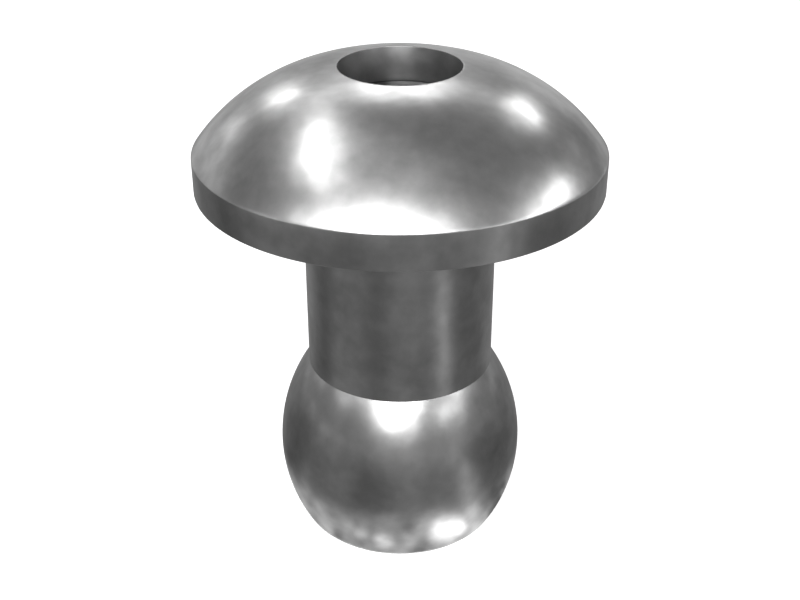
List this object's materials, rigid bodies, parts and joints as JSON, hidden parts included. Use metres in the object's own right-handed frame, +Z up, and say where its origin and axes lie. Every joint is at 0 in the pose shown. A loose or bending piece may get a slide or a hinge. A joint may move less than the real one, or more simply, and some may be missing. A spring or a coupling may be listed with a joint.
{
  "type": "set blind rivet",
  "caption": "Set open-end blind rivet: domed flange head, plain cylindrical shank, barrel-shaped upset blind end holding the headed mandrel, whose stem is broken off inside the bore.",
  "frame": {"origin": "centre of the flat foot at the blind end, which the rivet stands on", "axes": "+Z up along the rivet's axis, from the blind end to the domed head; the rivet is a body of revolution, so X and Y are free"},
  "size_m": [0.01, 0.01, 0.0125],
  "materials": {
    "body_steel": "dull grey steel, lightly smudged, as cold formed",
    "mandrel_steel": "dull grey drawn steel with a matt broken end"
  },
  "bodies": {
    "root": {"rivet_body": "body_steel", "mandrel": "mandrel_steel"}
  },
  "joints": []
}
